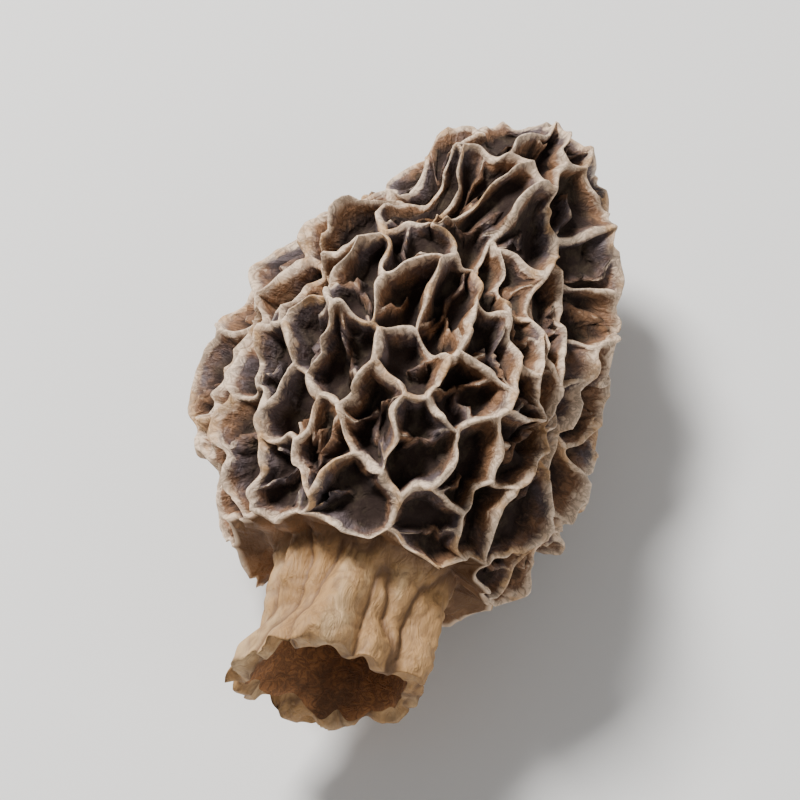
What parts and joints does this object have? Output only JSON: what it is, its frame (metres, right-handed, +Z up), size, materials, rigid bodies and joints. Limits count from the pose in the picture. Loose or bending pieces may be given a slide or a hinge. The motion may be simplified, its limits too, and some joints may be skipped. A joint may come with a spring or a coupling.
{
  "type": "dried morel mushroom",
  "caption": "Whole dried morel lying on its side: a hollow cap covered by a net of thin wavy ridges round deep pits, on a short crumpled hollow stem.",
  "frame": {"origin": "on the surface that the morel rests on, under the middle of the box round it", "axes": "+Y from the cut stem towards the tip of the cap, +Z up from the surface, +X to the side that the tip leans to"},
  "size_m": [0.0234, 0.0368, 0.0193],
  "materials": {
    "dried_flesh": "dry and matt, dark grey-brown in the pits, pale buff on the crests, ochre-tan on the stem"
  },
  "bodies": {
    "root": {"morel": "dried_flesh"}
  },
  "joints": []
}
